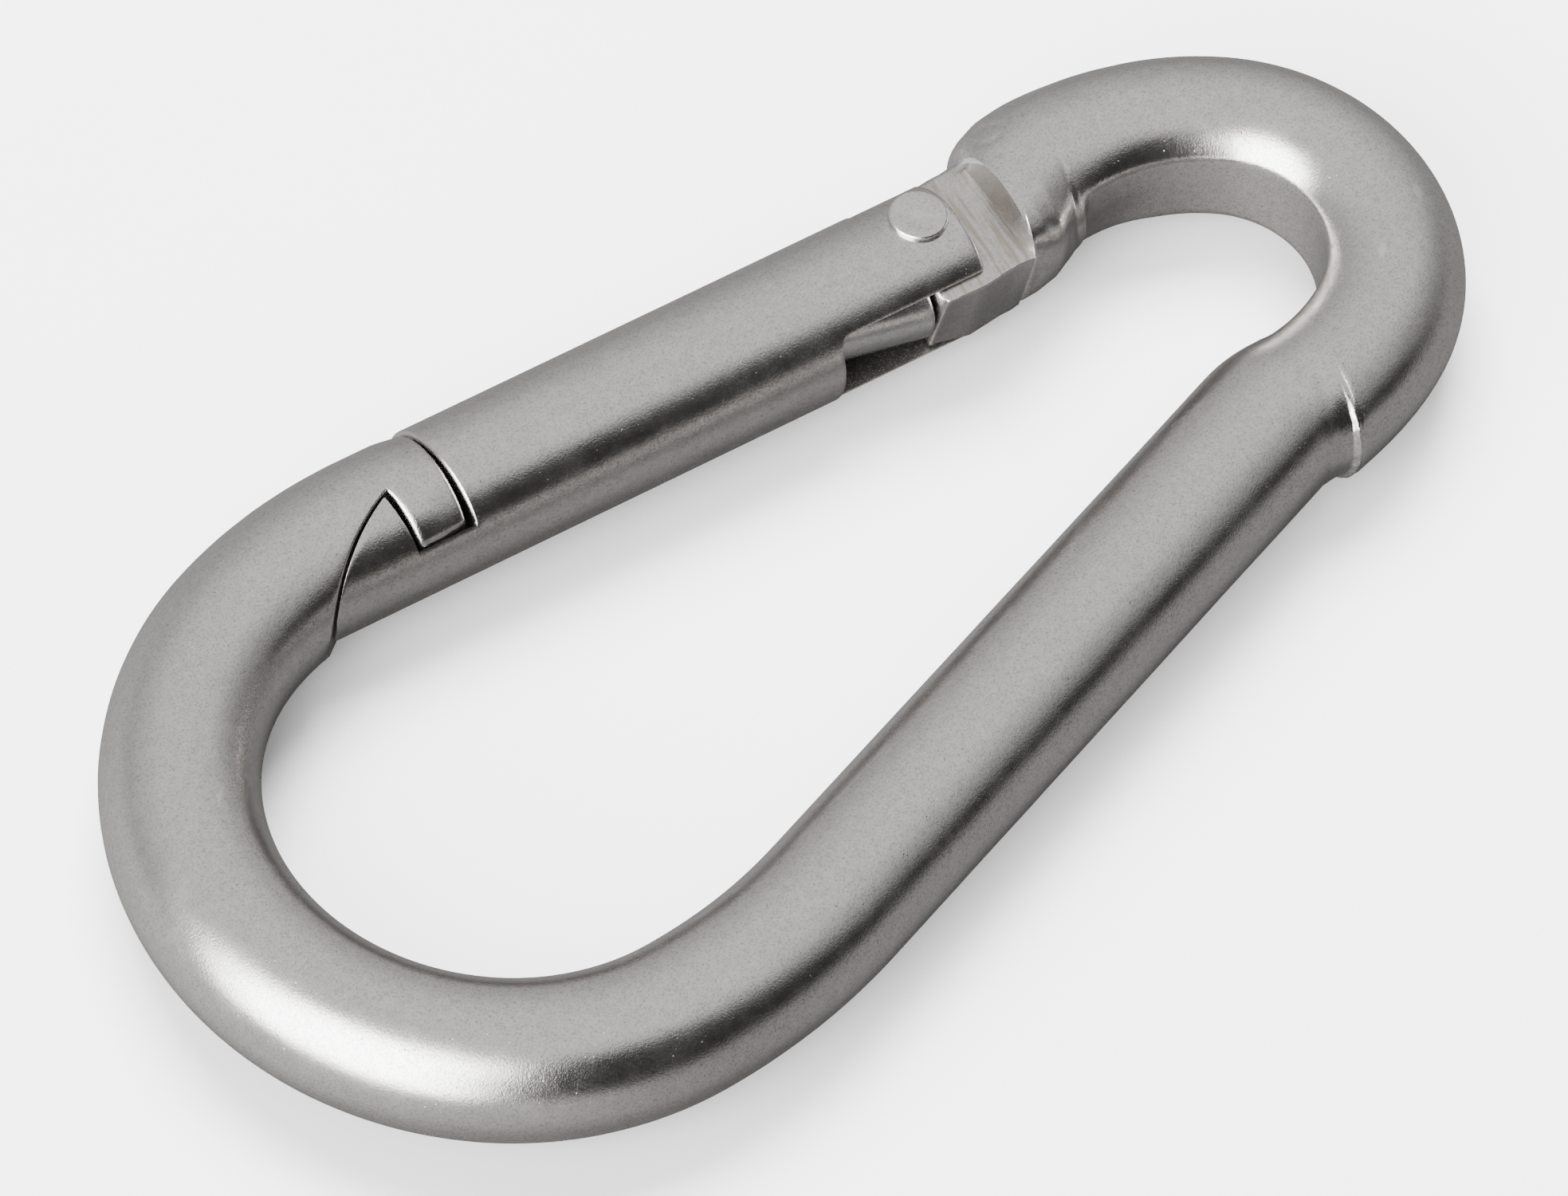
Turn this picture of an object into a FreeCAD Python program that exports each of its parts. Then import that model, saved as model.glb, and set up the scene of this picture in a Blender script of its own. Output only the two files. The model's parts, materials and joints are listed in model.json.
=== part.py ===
"""Spring snap hook: bent bar body, hollow gate, rivet, plunger and coil spring."""
import FreeCAD
import Part
import math
import os

V = FreeCAD.Vector
UP = V(0, 0, 1)

# Whole hook, mm. It lies flat: +X towards the small eye, +Y towards the gate.
overall_length = 100.0
bar_dia = 9.8
bar_r = bar_dia / 2
far = 60.0                      # longer than any cut through the whole height
beyond = 9.0                    # how far a local cut passes the bar's sides
overrun = 1.0                   # how far a piece runs on into the cut that ends it
near = 0.02                     # edges are looked for within this distance

# Bends, all radii to the centre of the bar
big_bend_r = 19.2
eye_bend_r = 10.45
big_centre = V(bar_r + big_bend_r - overall_length / 2, 0, 0)
eye_centre = V(overall_length / 2 - bar_r - eye_bend_r, 0, 0)
gate_lean = -10.13              # degrees from +X
gate_axis_offset = 19.79        # from the big bend's centre
nose_blend_r = 29.0
spine_lean = 10.39
spine_offset = 20.2
spine_blend_r = 40.0
joggle_r = 6.0                  # the outward step into the eye
spine_swell_r = 15.5
spine_swell_end = -67.35        # where the eye's true circle starts, degrees
gate_swell_r = 16.0
gate_swell_start = 45.0
tongue_lean = -3.5
tongue_below_pivot = 1.15

# The eye's inner wall, pressed flat
coin_depth = 0.85
coin_wall_r = eye_bend_r - bar_r + coin_depth
coin_start_x = 31.1
coin_edge_round = 0.3

# Latch, along (s) and across (t) the gate's axis, t positive outward
nose_end_s = 7.5
nose_hook_s = 4.2
nose_hook_t = -3.95
nose_throat_s = 3.8
tooth_back_s = 11.4
tooth_back_t = -17.7
tooth_back_r = 18.9
latch_gap = 0.1
latch_clear_s = 11.5            # past the gate's tooth
latch_reach_t = -6.0            # below both bars
gate_end_top_s = 7.58
gate_end_top_t = 8.0            # above both bars
gate_end_low_s = 8.38
gate_floor_t = -4.06
tooth_front_low_s = 4.02
tooth_front_s = 3.46

# Gate
gate_dia = 9.85
gate_r = gate_dia / 2
gate_start_s = -6.0             # before the latch is cut
ear_end_s = 45.5
slot_width = 6.3
slot_start_s = 34.65
slot_corner_r = 0.8
outer_slot_start_s = 40.2
bore_r = 3.1
bore_end_s = 12.0
bore_cone = 0.9                 # depth of the drill point
ear_edge_round = 0.5

# Tongue at the hinge
tongue_thickness = 6.0
shoulder_s = 48.9
heel_s = 41.4
heel_outer_round = 3.0
heel_inner_round = 0.35

# Rivet
pivot_s = 43.1
pivot_t = 0.7
rivet_r = 1.5
rivet_head_r = 1.9
rivet_head_top_z = 5.3
rivet_head_round = 0.3
rivet_running_gap = 0.05

# Plunger
plunger_r = 3.0
plunger_bend_s = 34.9
plunger_back_s = 25.0
plunger_shoulder_s = 35.4
plunger_front_s = 41.25
plunger_nose_r = 2.8
plunger_nose_drop = 0.85
plunger_spigot_r = 1.7
plunger_spigot_length = 3.0
plunger_edge = 0.3

# Spring
spring_wire_dia = 0.9
spring_outer_r = 2.85
spring_turns = 7.5
spring_end_gap = 0.02


def direction(degrees):
    """Unit vector in the hook's plane."""
    a = math.radians(degrees)
    return V(math.cos(a), math.sin(a), 0)


gate_along = direction(gate_lean)
gate_out = direction(gate_lean + 90)
gate_foot = big_centre + gate_out * gate_axis_offset
spine_along = direction(spine_lean)
spine_out = direction(spine_lean - 90)
spine_foot = big_centre + spine_out * spine_offset


def on_gate(s, t, z=0):
    """Point from distances along and across the gate's axis."""
    return gate_foot + gate_along * s + gate_out * t + UP * z


pivot = on_gate(pivot_s, pivot_t)
tongue_along = direction(tongue_lean)
tongue_out = direction(tongue_lean + 90)
tongue_base = pivot - tongue_out * tongue_below_pivot


def foot_on(point, base, along):
    return base + along * (point - base).dot(along)


def arc(centre, a, b):
    """Arc the short way round from a to b."""
    middle = (a + b) * 0.5 - centre
    middle.normalize()
    return Part.Arc(a, centre + middle * (a - centre).Length, b).toShape()


def line(a, b):
    return Part.makeLine(a, b)


def prism(points, z_low, z_high):
    """Straight-sided block over an outline in the hook's plane."""
    raised = [V(p.x, p.y, z_low) for p in points]
    face = Part.Face(Part.makePolygon(raised + [raised[0]]))
    return face.extrude(UP * (z_high - z_low))


def gate_block(s0, s1, t0, t1, z0, z1):
    """Box with its sides along and across the gate's axis."""
    corners = [on_gate(s0, t0), on_gate(s1, t0), on_gate(s1, t1), on_gate(s0, t1)]
    return prism(corners, z0, z1)


def gate_rod(s0, s1, radius, t=0):
    return Part.makeCylinder(radius, s1 - s0, on_gate(s0, t), gate_along)


def blend_centre(centre, radius, blend_r, line_offset, line_normal, turn):
    """Centre of the arc that joins a bend to a line outside it."""
    cosine = (blend_r - line_offset) / (blend_r - radius)
    off_normal = math.degrees(math.acos(cosine)) * turn
    normal_angle = math.degrees(math.atan2(line_normal.y, line_normal.x))
    towards = direction(normal_angle + off_normal)
    return centre - towards * (blend_r - radius), centre + towards * radius


def joggle_centre(base, along, out, swell_centre, swell_r):
    """Centre of the reverse arc between a line and the swell before the eye."""
    start = base + out * joggle_r - swell_centre
    half = start.dot(along)
    rest = start.dot(start) - (joggle_r + swell_r) ** 2
    return swell_centre + start - along * (half + math.sqrt(half * half - rest))


def swell(angle, swell_r, base, along, out):
    """Centres and tangent points from the eye's circle out to a straight bar."""
    centre = eye_centre + direction(angle) * (eye_bend_r - swell_r)
    joggle = joggle_centre(base, along, out, centre, swell_r)
    meet = centre + (joggle - centre) * (swell_r / (swell_r + joggle_r))
    return centre, joggle, meet, foot_on(joggle, base, along)


nose_blend, nose_bend_start = blend_centre(
    big_centre, big_bend_r, nose_blend_r, gate_axis_offset, gate_out, 1)
spine_blend, spine_bend_end = blend_centre(
    big_centre, big_bend_r, spine_blend_r, spine_offset, spine_out, -1)
spine_swell, spine_joggle, spine_meet, spine_end = swell(
    spine_swell_end, spine_swell_r, spine_foot, spine_along, spine_out)
gate_swell, gate_joggle, gate_meet, tongue_start = swell(
    gate_swell_start, gate_swell_r, tongue_base, tongue_along, tongue_out)
eye_start = eye_centre + direction(spine_swell_end) * eye_bend_r
eye_end = eye_centre + direction(gate_swell_start) * eye_bend_r


def body_path():
    """Centre line of the bar from the nose, round the back, to the heel."""
    nose = on_gate(nose_end_s + overrun, 0)
    nose_start = foot_on(nose_blend, gate_foot, gate_along)
    spine_start = foot_on(spine_blend, spine_foot, spine_along)
    heel = foot_on(on_gate(heel_s - overrun, 0), tongue_base, tongue_along)
    return [
        line(nose, nose_start),
        arc(nose_blend, nose_start, nose_bend_start),
        arc(big_centre, nose_bend_start, spine_bend_end),
        arc(spine_blend, spine_bend_end, spine_start),
        line(spine_start, spine_end),
        arc(spine_joggle, spine_end, spine_meet),
        arc(spine_swell, spine_meet, eye_start),
        arc(eye_centre, eye_start, eye_end),
        arc(gate_swell, eye_end, gate_meet),
        arc(gate_joggle, gate_meet, tongue_start),
        line(tongue_start, heel),
    ]


def bent_bar():
    edges = body_path()
    start = edges[0].valueAt(edges[0].FirstParameter)
    ring = Part.Wire([Part.makeCircle(bar_r, start, gate_along)])
    return Part.Wire(edges).makePipeShell([ring], True, False)


def nose_cutter():
    """Everything the gate's latch end needs cleared from the bar."""
    apex = tooth_back_point(nose_throat_s, tooth_back_r)
    low = tooth_back_low(tooth_back_r)
    edges = [
        line(on_gate(nose_end_s, beyond), on_gate(nose_end_s, nose_hook_t)),
        line(on_gate(nose_end_s, nose_hook_t), on_gate(nose_hook_s, nose_hook_t)),
        line(on_gate(nose_hook_s, nose_hook_t), apex),
        arc(on_gate(tooth_back_s, tooth_back_t), apex, low),
        line(low, on_gate(latch_clear_s, latch_reach_t)),
        line(on_gate(latch_clear_s, latch_reach_t), on_gate(latch_clear_s, beyond)),
        line(on_gate(latch_clear_s, beyond), on_gate(nose_end_s, beyond)),
    ]
    return tall(edges)


def tooth_back_point(s, radius):
    """Point on the gate tooth's curved back."""
    rise = math.sqrt(radius ** 2 - (s - tooth_back_s) ** 2)
    return on_gate(s, tooth_back_t + rise)


def tooth_back_low(radius):
    """Where the curved back runs out below the bars."""
    run = math.sqrt(radius ** 2 - (latch_reach_t - tooth_back_t) ** 2)
    return on_gate(tooth_back_s - run, latch_reach_t)


def tall(edges):
    """Extrude a closed outline through the full height of the hook."""
    face = Part.Face(Part.Wire(edges))
    face.translate(UP * -far / 2)
    return face.extrude(UP * far)


def coin_cutter():
    """Space of the press tool that flattens the eye's inner wall."""
    wall = bar_r - coin_depth
    low_start = coin_crossing(spine_swell, spine_swell_r - wall, -1)
    low_end = eye_centre + direction(spine_swell_end) * coin_wall_r
    high_end = eye_centre + direction(gate_swell_start) * coin_wall_r
    high_start = coin_crossing(gate_swell, gate_swell_r - wall, 1)
    return tall([
        arc(spine_swell, low_start, low_end),
        arc(eye_centre, low_end, high_end),
        arc(gate_swell, high_end, high_start),
        line(high_start, low_start),
    ])


def coin_crossing(centre, radius, side):
    """Where a wall arc crosses the line on which the press tool ends."""
    rise = math.sqrt(radius ** 2 - (coin_start_x - centre.x) ** 2)
    return V(coin_start_x, centre.y + side * rise, 0)


def tongue_cutters():
    """Mill both faces of the hinge tongue and square its heel."""
    half = tongue_thickness / 2
    start_s = heel_s - beyond
    above = gate_block(start_s, shoulder_s, -beyond, beyond, half, half + beyond)
    below = gate_block(start_s, shoulder_s, -beyond, beyond, -half - beyond, -half)
    behind = gate_block(start_s, heel_s, -beyond, beyond, -half - beyond, half + beyond)
    return [above, below, behind]


def edges_near(shape, test):
    """Edges whose middle point passes the test."""
    found = []
    for edge in shape.Edges:
        middle = edge.valueAt((edge.FirstParameter + edge.LastParameter) / 2)
        if test(middle):
            found.append(edge)
    return found


def along_gate(point):
    return (point - gate_foot).dot(gate_along)


def across_gate(point):
    return (point - gate_foot).dot(gate_out)


def heel_edges(body, outer):
    """Upright edges of the heel on its outer or inner side."""
    def test(p):
        on_face = abs(along_gate(p) - heel_s) < near
        side = across_gate(p) > 0 if outer else across_gate(p) < 0
        return on_face and side and abs(p.z) < tongue_thickness / 2 - near
    return edges_near(body, test)


def coin_rim(body):
    """Long edges above and below the flattened wall."""
    def test(p):
        height = math.sqrt(bar_r ** 2 - (bar_r - coin_depth) ** 2)
        return p.x > coin_start_x + near and abs(abs(p.z) - height) < near
    return edges_near(body, test)


def make_body():
    body = bent_bar()
    body = body.cut(nose_cutter())
    body = body.cut(coin_cutter())
    for cutter in tongue_cutters():
        body = body.cut(cutter)
    body = body.makeFillet(heel_outer_round, heel_edges(body, True))
    body = body.makeFillet(heel_inner_round, heel_edges(body, False))
    body = body.makeFillet(coin_edge_round, coin_rim(body))
    hole_r = rivet_r + rivet_running_gap
    return body.cut(Part.makeCylinder(hole_r, far, pivot - UP * far / 2))


def latch_cutter():
    """Everything the body's nose needs cleared from the gate's rod."""
    back_r = tooth_back_r - latch_gap
    apex = tooth_back_point(tooth_front_s, back_r)
    low = tooth_back_low(back_r)
    corners = [
        low,
        on_gate(-beyond, latch_reach_t),
        on_gate(-beyond, gate_end_top_t),
        on_gate(gate_end_top_s, gate_end_top_t),
        on_gate(gate_end_low_s, gate_floor_t),
        on_gate(tooth_front_low_s, gate_floor_t),
        apex,
    ]
    edges = [line(a, b) for a, b in zip(corners, corners[1:])]
    edges.append(arc(on_gate(tooth_back_s, tooth_back_t), apex, low))
    return tall(edges)


def fork_cutter():
    """Slot that is open inward and at the hinge end, and through at the hinge."""
    half = slot_width / 2
    end_s = ear_end_s + overrun
    inner = gate_block(slot_start_s, end_s, -beyond, 0, -half, half)

    def corner(p):
        return abs(along_gate(p) - slot_start_s) < near and abs(abs(p.z) - half) < near
    inner = inner.makeFillet(slot_corner_r, edges_near(inner, corner))
    outer = gate_block(outer_slot_start_s, end_s, -overrun, beyond, -half, half)
    return inner.fuse(outer)


def gate_bore():
    hole = gate_rod(bore_end_s, ear_end_s + overrun, bore_r)
    tip = Part.makeCone(0, bore_r, bore_cone, on_gate(bore_end_s - bore_cone, 0), gate_along)
    return hole.fuse(tip)


def ear_rims(gate):
    """Round outer edges of both ears' ends."""
    def test(p):
        reach = math.hypot(across_gate(p), p.z)
        return abs(along_gate(p) - ear_end_s) < near and reach > gate_r - near
    return edges_near(gate, test)


def make_gate():
    gate = gate_rod(gate_start_s, ear_end_s, gate_r)
    gate = gate.cut(latch_cutter())
    gate = gate.cut(fork_cutter())
    gate = gate.cut(gate_bore())
    gate = gate.makeFillet(ear_edge_round, ear_rims(gate))
    return gate.cut(Part.makeCylinder(rivet_r, far, pivot - UP * far / 2))


def make_rivet():
    """Pin with two peened heads that sit on the round ears."""
    top = rivet_head_top_z
    heads = Part.makeCylinder(rivet_head_r, 2 * top, pivot - UP * top)
    ends = [e for e in heads.Edges if abs(abs(e.CenterOfMass.z) - top) < near]
    heads = heads.makeFillet(rivet_head_round, ends)
    heads = heads.cut(gate_rod(0, ear_end_s + beyond, gate_r))
    shank = Part.makeCylinder(rivet_r, 2 * gate_r, pivot - UP * gate_r)
    return heads.fuse(shank).removeSplitter()


def make_plunger():
    """Guided shank, spring spigot and a nose bent down to meet the heel."""
    shank = gate_rod(plunger_back_s, plunger_shoulder_s, plunger_r)
    ends = [e for e in shank.Edges if e.Closed]
    shank = shank.makeChamfer(plunger_edge, ends)
    spigot = gate_rod(plunger_back_s - plunger_spigot_length, plunger_back_s + overrun,
                      plunger_spigot_r)
    nose_from = on_gate(plunger_bend_s, 0)
    reach = on_gate(plunger_front_s, -plunger_nose_drop) - nose_from
    nose = Part.makeCylinder(plunger_nose_r, reach.Length + overrun, nose_from, reach)
    nose = nose.cut(gate_block(plunger_front_s, plunger_front_s + beyond,
                               -beyond, beyond, -beyond, beyond))
    front = [e for e in nose.Edges if abs(along_gate(e.CenterOfMass) - plunger_front_s) < near]
    nose = nose.makeFillet(plunger_edge, front)
    return shank.fuse([spigot, nose]).removeSplitter()


def make_spring():
    """Compression spring between the bore's end and the plunger."""
    wire_r = spring_wire_dia / 2
    length = plunger_back_s - bore_end_s - 2 * spring_end_gap - spring_wire_dia
    coil_r = spring_outer_r - wire_r
    path = Part.makeHelix(length / spring_turns, length, coil_r)
    ring = Part.Wire([Part.makeCircle(wire_r, V(coil_r, 0, 0), V(0, 1, 0))])
    coil = Part.Wire(path.Edges).makePipeShell([ring], True, True)
    coil.translate(UP * (bore_end_s + spring_end_gap + wire_r))
    turned = FreeCAD.Rotation(UP, gate_along)
    coil.Placement = FreeCAD.Placement(gate_foot, turned).multiply(coil.Placement)
    return coil


parts = {
    "body": make_body,
    "gate": make_gate,
    "rivet": make_rivet,
    "plunger": make_plunger,
    "spring": make_spring,
}

os.makedirs("parts", exist_ok=True)
for name, make in parts.items():
    solid = make()
    solid.exportStep("parts/" + name + ".step")
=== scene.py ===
"""Looks of the spring snap hook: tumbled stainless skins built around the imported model."""
import bmesh
import bpy
import cmath
import json
import math
import numpy as np
from mathutils import Matrix, Vector, noise


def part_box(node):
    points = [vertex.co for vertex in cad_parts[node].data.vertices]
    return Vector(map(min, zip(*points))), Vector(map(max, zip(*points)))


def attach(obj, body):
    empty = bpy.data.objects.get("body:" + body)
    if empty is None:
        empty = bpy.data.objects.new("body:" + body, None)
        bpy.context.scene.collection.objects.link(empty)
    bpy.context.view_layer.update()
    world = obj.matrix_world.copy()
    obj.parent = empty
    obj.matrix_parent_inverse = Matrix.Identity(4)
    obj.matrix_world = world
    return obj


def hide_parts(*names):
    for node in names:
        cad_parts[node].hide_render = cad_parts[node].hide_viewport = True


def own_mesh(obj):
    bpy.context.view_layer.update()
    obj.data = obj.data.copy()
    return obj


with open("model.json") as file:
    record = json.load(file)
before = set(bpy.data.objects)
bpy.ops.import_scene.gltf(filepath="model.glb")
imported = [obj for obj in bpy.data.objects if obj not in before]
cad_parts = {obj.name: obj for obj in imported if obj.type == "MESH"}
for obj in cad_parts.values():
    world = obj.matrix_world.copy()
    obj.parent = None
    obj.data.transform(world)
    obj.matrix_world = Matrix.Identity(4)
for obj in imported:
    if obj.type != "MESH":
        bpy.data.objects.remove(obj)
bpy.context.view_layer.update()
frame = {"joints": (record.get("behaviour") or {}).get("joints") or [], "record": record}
MM = 0.001

# ---------------- sizes, mm
# Points in the hook's plane are complex numbers, x + iy. What the frame states is read from it.
joints = {j["name"]: j for j in frame["joints"]}
mounts = {m["name"]: m for m in frame["record"]["mounts"]}
half_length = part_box("body")[1].x / MM
bar_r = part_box("body")[1].z / MM
gate_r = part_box("gate")[1].z / MM
head_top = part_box("rivet")[1].z / MM
pivot = complex(*joints["gate_hinge"]["pos_m"][:2]) / MM
along = -complex(*joints["plunger_slide"]["axis"][:2])
along /= abs(along)
out = along * 1j
eye = complex(*mounts["eye_wall"]["pos_m"][:2]) / MM
coin_wall_r = mounts["eye_wall"]["dims"]["r_mm"]

# Bends, to the centre of the bar
eye_r = half_length - bar_r - eye.real
big_r = 19.2
big = complex(bar_r + big_r - half_length, 0)
pivot_t = 0.7
gate_offset = ((pivot - big) * out.conjugate()).real - pivot_t
gate_foot = big + out * gate_offset
nose_blend_r = 29.0
spine_dir = cmath.rect(1, math.radians(10.39))
spine_out = -spine_dir * 1j
spine_offset = 20.2
spine_blend_r = 40.0
joggle_r = 6.0
spine_swell_r = 15.5
spine_swell_end = math.radians(-67.35)
gate_swell_r = 16.0
gate_swell_start = math.radians(45)
tongue_dir = cmath.rect(1, math.radians(-3.5))
tongue_below_pivot = 1.15
tongue_base = pivot - tongue_dir * 1j * tongue_below_pivot
coin_depth = coin_wall_r - (eye_r - bar_r)
coin_start_x = 31.1
gate_half_y = 4                 # the hook's gate half lies above this

# Latch. s runs along the gate's axis, t across it, outward
nose_end_s = 7.64
nose_hook_s = 4.2
nose_hook_t = -3.95
nose_wear = 0.22                # how much thinner the bar is at its very end
nose_wear_length = 2.2
throat_s = 3.8
tooth_back = gate_foot + along * 11.4 - out * 17.7
tooth_back_r = 18.9
latch_gap = 0.15                # between the tooth and the seat cut in the nose
tooth_front_s = 3.38
tooth_low_s = 3.92
floor_t = -4.06                 # flat between the tooth and the gate's end
gate_end_low_s = 8.04
gate_end_slope = 0.06           # how far the end leans per mm across

# Hinge
tongue_half = 3.0
shoulder_s = 48.65
shoulder_slope = 0.45           # how far the shoulder leans back per mm of height
heel_s = 42.05
heel_edge = 0.12
heel_round = 3.0
ear_end_s = 45.5
ear_round = 0.5
slot_half = 3.15
slot_start_s = 34.65
slot_corner_r = 0.8
web_end_s = 40.2                # the outer side of the slot is closed up to here
bore_r = 3.1
bore_end_s = 12.0
bore_cone = 0.9
edge = 0.17                     # softened cut edges
nose_edge = 0.3
coin_edge = 0.3

# Rivet, plunger and spring
head_r = 1.9
head_round = 0.2
head_seat_z = 4.55
rivet_r = 1.5
plunger_r = 3.0
plunger_back_s = 25.0
plunger_front_s = 41.85
plunger_bend_s = 34.9
plunger_nose_r = 2.74
plunger_nose_drop = 1.36
plunger_edge = 0.3
spigot_r = 1.7
spigot_length = 3.0
wire_r = 0.45
coil_r = 2.85 - wire_r
spring_turns = 7.5
spring_gap = 0.02
spring_start_s = bore_end_s + spring_gap + wire_r
spring_length = plunger_back_s - bore_end_s - 2 * spring_gap - 2 * wire_r


def direction(angle):
    return cmath.rect(1, angle)


def ease(x):
    """Smooth step from 0 to 1."""
    x = np.clip(x, 0, 1)
    return x * x * (3 - 2 * x)


def bell(x):
    return np.exp(-x * x)


def along_table(table, s):
    return np.interp(s, [a for a, _ in table], [b for _, b in table])


def dot(a, b):
    return (a * b.conjugate()).real


def foot_on(point, base, toward):
    return base + toward * dot(point - base, toward)


def on_gate(s, t=0.0):
    return gate_foot + along * s + out * t


def along_gate(point):
    return dot(point - gate_foot, along)


# ---------------- the bar's path
def blend_centre(blend_r, line_offset, normal, turn):
    """Centre and start of the arc that joins the big bend to a line outside it."""
    spread = math.acos((blend_r - line_offset) / (blend_r - big_r)) * turn
    toward = normal * direction(spread)
    return big - toward * (blend_r - big_r), big + toward * big_r


def swell(angle, swell_r, base, toward, outward):
    """Arc centres and tangent points from the eye's circle to a straight bar."""
    centre = eye + direction(angle) * (eye_r - swell_r)
    start = base + outward * joggle_r - centre
    half = dot(start, toward)
    rest = abs(start) ** 2 - (joggle_r + swell_r) ** 2
    joggle = centre + start - toward * (half + math.sqrt(half * half - rest))
    meet = centre + (joggle - centre) * (swell_r / (swell_r + joggle_r))
    return centre, joggle, meet, foot_on(joggle, base, toward)


def body_path():
    """Where each stretch starts, with the centre of its arc or None if it's straight, from the
    nose, round the back, to the heel."""
    spine_foot = big + spine_out * spine_offset
    nose_blend, nose_start = blend_centre(nose_blend_r, gate_offset, out, 1)
    spine_blend, spine_start = blend_centre(spine_blend_r, spine_offset, spine_out, -1)
    low_swell, low_joggle, low_meet, low_end = swell(
        spine_swell_end, spine_swell_r, spine_foot, spine_dir, spine_out)
    top_swell, top_joggle, top_meet, top_end = swell(
        gate_swell_start, gate_swell_r, tongue_base, tongue_dir, tongue_dir * 1j)
    heel = foot_on(on_gate(heel_s - 1), tongue_base, tongue_dir)
    return [
        (on_gate(nose_end_s + 1), None),
        (foot_on(nose_blend, gate_foot, along), nose_blend),
        (nose_start, big),
        (spine_start, spine_blend),
        (foot_on(spine_blend, spine_foot, spine_dir), None),
        (low_end, low_joggle),
        (low_meet, low_swell),
        (eye + direction(spine_swell_end) * eye_r, eye),
        (eye + direction(gate_swell_start) * eye_r, top_swell),
        (top_meet, top_joggle),
        (top_end, None),
        (heel, None),
    ]


def sample_path(points, step=0.02):
    """Dense places and headings along the path, with the distance run so far."""
    places, headings = [], []
    for (a, centre), (b, _) in zip(points, points[1:]):
        if centre is None:
            n = max(2, int(abs(b - a) / step))
            places += [a + (b - a) * k / n for k in range(n)]
            headings += [(b - a) / abs(b - a)] * n
            continue
        turn = cmath.phase((b - centre) / (a - centre))
        n = max(2, int(abs(turn) * abs(a - centre) / step))
        for k in range(n):
            arm = (a - centre) * direction(turn * k / n)
            places.append(centre + arm)
            headings.append(arm * 1j * math.copysign(1, turn) / abs(arm))
    places, headings = np.array(places), np.array(headings)
    run = np.concatenate([[0], np.cumsum(np.abs(np.diff(places)))])
    return places, headings, run


path_places, path_headings, path_run = sample_path(body_path())
path_length = path_run[-1]
path_s = ((path_places - gate_foot) * np.conj(along)).real
tongue_run = path_length - 14   # the path's last stretch, which holds shoulder and tongue


def on_path(u, values):
    return complex(np.interp(u, path_run, values.real), np.interp(u, path_run, values.imag))


def place_at(u):
    return on_path(u, path_places)


def outward_at(u):
    """Unit vector from the path's inner side to its outer side."""
    heading = on_path(u, path_headings)
    return heading / abs(heading) * -1j


def run_where(values, target, start, end):
    """Distance along the path, between two others, at which a value is reached."""
    pick = (path_run >= start) & (path_run <= end)
    runs, found = path_run[pick], values[pick]
    order = np.argsort(found)
    return float(np.interp(target, found[order], runs[order]))


def tongue_u(s):
    """Distance along the path at which the tongue's stretch reaches s."""
    return run_where(-path_s, -s, tongue_run, path_length)


# ---------------- ring sections
# A section is a closed ring of w = q + iz: q outward in the plane, z up. It has four
# corners, mirrored above and below, and four groups of points between them.
ARC, FLAT = "arc", "flat"
OUTER_N, SIDE_N, INNER_N = 41, 47, 23
EDGE_LIMIT = 0.3                # an edge takes at most this share of the stretch beside it


def at_angle(degrees, radius):
    return cmath.rect(radius, math.radians(degrees))


def walk(start, end, distance):
    """Point a little way from start towards end, in a straight line."""
    length = abs(end - start)
    return start + (end - start) * min(distance / max(length, 1e-9), EDGE_LIMIT)


def turn_from(a, b):
    """Counterclockwise turn from a to b."""
    turn = cmath.phase(b / a)
    return turn + 2 * math.pi if turn < 0 else turn


def group_points(a, b, kind, count):
    if kind == FLAT:
        return [a + (b - a) * k / (count - 1) for k in range(count)]
    turn = turn_from(a, b)
    return [a * direction(turn * k / (count - 1)) for k in range(count)]


def section(p1, p2, side, inner, soften):
    """Ring of points from two upper corners, whose side and inner groups are ARC or FLAT."""
    corners = [p1, p2, p2.conjugate(), p1.conjugate()]
    between = [side, inner, side, ARC]
    sizes = [SIDE_N, INNER_N, SIDE_N, OUTER_N]
    starts, ends = [], []
    for k in range(4):
        a, b = corners[k], corners[(k + 1) % 4]
        if between[k] == ARC:
            bit = min(soften / abs(a), turn_from(a, b) * EDGE_LIMIT)
            starts.append(a * direction(bit))
            ends.append(b * direction(-bit))
        else:
            starts.append(walk(a, b, soften))
            ends.append(walk(b, a, soften))
    ring = []
    for k in range(4):
        corner = corners[k]
        if FLAT in (between[k], between[k - 1]):
            corner = (ends[k - 1] + 2 * corner + starts[k]) / 4
        ring.append(corner)
        ring += group_points(starts[k], ends[k], between[k], sizes[k])
    return np.array(ring)


CAP_RINGS = (0.8, 0.55, 0.3)    # sizes of the rings that fill an end


def place_in_scene(name, data):
    piece = bpy.data.objects.new(name, data)
    bpy.context.scene.collection.objects.link(piece)
    return piece


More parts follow.
